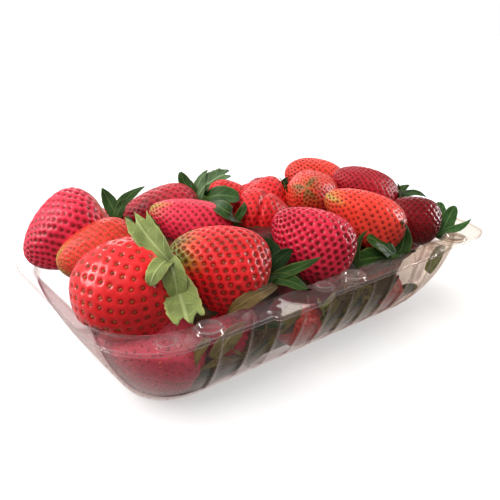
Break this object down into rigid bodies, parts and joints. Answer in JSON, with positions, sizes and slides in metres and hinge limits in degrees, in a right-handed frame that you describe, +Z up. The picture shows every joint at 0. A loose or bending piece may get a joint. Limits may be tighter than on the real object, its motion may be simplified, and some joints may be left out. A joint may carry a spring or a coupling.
{
  "type": "punnet of strawberries",
  "caption": "Clear plastic punnet, open at the top, heaped with whole ripe strawberries and their green leaves.",
  "frame": {"origin": "middle of the underside of the tray's base", "axes": "+X along the tray's length, +Y across it, away from the long side with the lifted flange corner, +Z up"},
  "size_m": [0.19, 0.112, 0.0721],
  "materials": {
    "clear_plastic": "clear gloss",
    "fruit": "glossy skin"
  },
  "bodies": {
    "root": {"tray": "clear_plastic", "strawberries": "fruit"}
  },
  "joints": []
}
